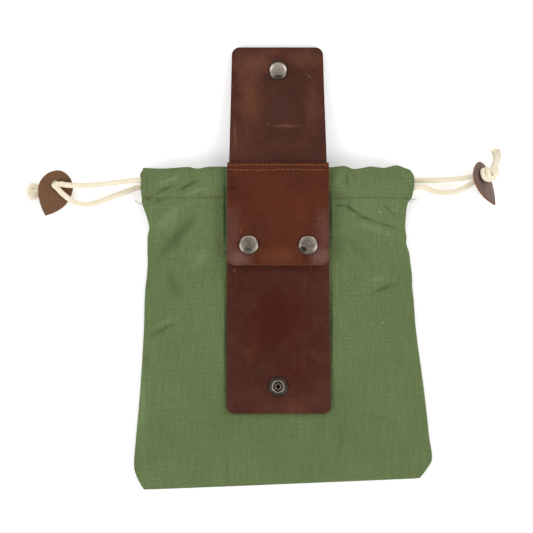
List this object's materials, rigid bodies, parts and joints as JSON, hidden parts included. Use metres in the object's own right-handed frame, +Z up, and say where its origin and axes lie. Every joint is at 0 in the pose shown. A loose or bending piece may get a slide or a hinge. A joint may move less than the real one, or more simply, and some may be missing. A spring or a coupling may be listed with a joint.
{
  "type": "drawstring belt pouch",
  "caption": "Canvas drawstring pouch lying flat, with a leather snap flap and belt loop and leather-toggled cotton cords.",
  "frame": {"origin": "on the table under the middle of the bag and its leather flap, leaving out the drawstrings' free ends", "axes": "+Z up from the table, +Y from the bag's bottom seam towards the flap's end, +X to the right seen from above"},
  "size_m": [0.3573, 0.3324, 0.026],
  "materials": {
    "canvas": "olive green cotton canvas, matt",
    "strip_leather": "dark brown pull-up leather, waxed",
    "loop_leather": "chestnut brown pull-up leather, waxed",
    "toggle_leather": "brown leather, flesh side matt",
    "gunmetal": "gunmetal plated brass, satin",
    "cotton_cord": "unbleached braided cotton"
  },
  "bodies": {
    "root": {"back_panel": "canvas", "front_panel": "canvas", "leather_strip": "strip_leather", "belt_loop": "loop_leather", "flap_snap": "gunmetal", "loop_snap_left": "gunmetal", "loop_snap_right": "gunmetal", "loop_stud_left": "gunmetal", "loop_stud_right": "gunmetal", "snap_stud": "gunmetal", "left_cord_run": "cotton_cord", "right_cord_run": "cotton_cord", "left_strand_upper": "cotton_cord", "left_strand_lower": "cotton_cord", "right_strand_upper": "cotton_cord", "right_strand_lower": "cotton_cord", "left_toggle": "toggle_leather", "right_toggle": "toggle_leather", "left_knot": "cotton_cord", "right_knot": "cotton_cord"}
  },
  "joints": []
}
